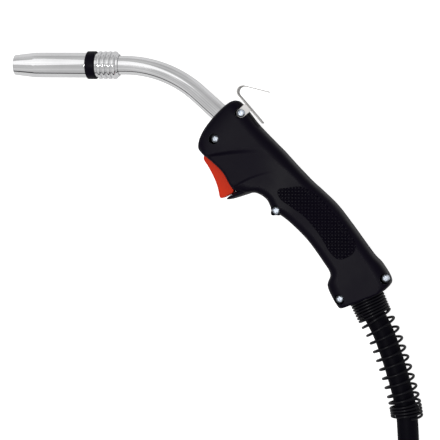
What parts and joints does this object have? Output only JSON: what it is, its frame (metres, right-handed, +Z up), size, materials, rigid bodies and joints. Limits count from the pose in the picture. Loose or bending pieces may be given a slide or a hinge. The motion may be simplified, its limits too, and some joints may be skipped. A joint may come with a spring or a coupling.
{
  "type": "mig welding torch",
  "caption": "Gas-cooled wire-feed welding torch: swan neck, split handle with trigger and hanging hook, and a coiled cable with a central connector.",
  "frame": {"origin": "on the surface the torch lies on, under the middle of the torch itself, the free cable left out", "axes": "+X from the nozzle towards the cable, +Y towards the back of the handle, +Z up out of the torch's plane of symmetry"},
  "size_m": [0.3942, 0.6662, 0.0418],
  "materials": {
    "black_plastic": "semi-gloss moulded glass-filled nylon, black",
    "trigger_plastic": "semi-gloss moulded nylon, orange-red",
    "chrome": "bright nickel-chrome plating, polished",
    "hook_steel": "bright zinc-plated strip",
    "screw_steel": "bright zinc-plated steel",
    "brass": "turned brass",
    "copper": "drawn copper alloy",
    "white_nylon": "natural nylon",
    "cable_rubber": "black rubber jacket, satin",
    "spring_coating": "spring steel, black coated, semi-gloss",
    "tie_strap": "black woven nylon strap"
  },
  "bodies": {
    "torch": {"handle_left_shell": "black_plastic", "handle_right_shell": "black_plastic", "switch_body": "black_plastic", "nozzle_insulator": "black_plastic", "connector_housing": "black_plastic", "connector_face": "black_plastic", "finned_collar": "chrome", "neck_outer_tube": "chrome", "hanging_hook": "hook_steel", "handle_screw_1": "screw_steel", "handle_screw_2": "screw_steel", "handle_screw_3": "screw_steel", "handle_screw_4": "screw_steel", "handle_screw_5": "screw_steel", "trigger_pivot_pin": "screw_steel", "wire_liner": "screw_steel", "gas_diffuser": "brass", "tip_holder": "brass", "neck_block": "brass", "connector_core": "brass", "gas_and_wire_pin": "brass", "contact_tip": "copper", "neck_conductor_tube": "copper", "neck_insulating_sleeve": "white_nylon", "switch_wire_2": "white_nylon", "cable_lead_in": "cable_rubber", "cable_coil": "cable_rubber", "cable_lead_out": "cable_rubber", "inner_cable": "cable_rubber", "connector_boot": "cable_rubber", "pin_seal_ring": "cable_rubber", "switch_wire_1": "cable_rubber", "strain_relief_spring": "spring_coating", "spring_seat": "spring_coating", "coil_tie_1": "tie_strap", "coil_tie_2": "tie_strap", "coil_tie_3": "tie_strap"},
    "trigger": {"trigger": "trigger_plastic"},
    "switch_plunger": {"switch_plunger": "white_nylon"},
    "nozzle": {"gas_nozzle": "chrome"},
    "lock_nut": {"connector_nut": "black_plastic"},
    "signal_pin_1": {"signal_pin_1": "brass"},
    "signal_pin_2": {"signal_pin_2": "brass"}
  },
  "joints": [
    {"name": "trigger_pull", "type": "hinge", "parent": "torch", "child": "trigger", "pos_m": [-0.0013, 0.07736, 0.0195], "axis": [0, 0, 1], "range_deg": [0, 4.8], "stiffness_Nm_per_rad": 1.2, "springref_deg": -3.44},
    {"name": "plunger_press", "type": "slide", "parent": "torch", "child": "switch_plunger", "axis": [0.8383, 0.5452, 0], "range_m": [0, 0.0022]},
    {"name": "nozzle_pull_off", "type": "slide", "parent": "torch", "child": "nozzle", "axis": [-0.9999, 0.0122, 0], "range_m": [0, 0.02]},
    {"name": "lock_nut_turn", "type": "hinge", "parent": "torch", "child": "lock_nut", "pos_m": [-0.1433, -0.25364, 0.021], "axis": [0, 1, 0], "continuous": true},
    {"name": "signal_pin_1_press", "type": "slide", "parent": "torch", "child": "signal_pin_1", "axis": [0, -1, 0], "range_m": [0, 0.002], "stiffness_N_per_m": 300, "springref_m": -0.0015},
    {"name": "signal_pin_2_press", "type": "slide", "parent": "torch", "child": "signal_pin_2", "axis": [0, -1, 0], "range_m": [0, 0.002], "stiffness_N_per_m": 300, "springref_m": -0.0015}
  ],
  "couplings": [
    {"joint": "plunger_press", "follows": "trigger_pull", "m_per_rad": 0.02468}
  ]
}
